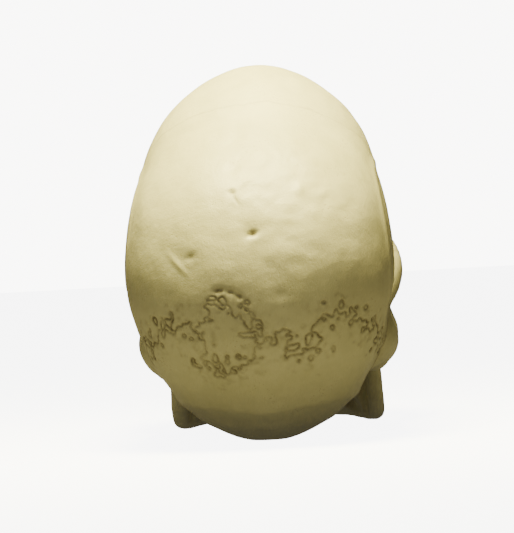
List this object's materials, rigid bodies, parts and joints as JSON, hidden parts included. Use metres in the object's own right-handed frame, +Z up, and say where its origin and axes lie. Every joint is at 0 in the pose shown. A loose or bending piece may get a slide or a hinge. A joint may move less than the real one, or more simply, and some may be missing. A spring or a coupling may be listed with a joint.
{
  "type": "human skull",
  "caption": "Dry human skull with its lower jaw, life size, long narrow vault, tipped back at rest on occiput and jaw.",
  "frame": {"origin": "on the floor plane under the middle of the bounding box, at rest on small flats of the occipital bone and the lower jaw", "axes": "+Z up, +Y the way the face looks (tipped upwards), +X to the skull's own right; the X = 0 plane is the median plane"},
  "size_m": [0.1358, 0.2494, 0.1839],
  "materials": {
    "bone": "satin",
    "tooth": "satin"
  },
  "bodies": {
    "root": {"frontal": "bone", "parietals": "bone", "occipital": "bone", "lambdoid_ossicle": "bone", "temporal_right": "bone", "temporal_left": "bone", "sphenoid": "bone", "zygomatic_right": "bone", "zygomatic_left": "bone", "nasal_bones": "bone", "maxilla": "bone", "mandible": "bone"}
  },
  "joints": []
}
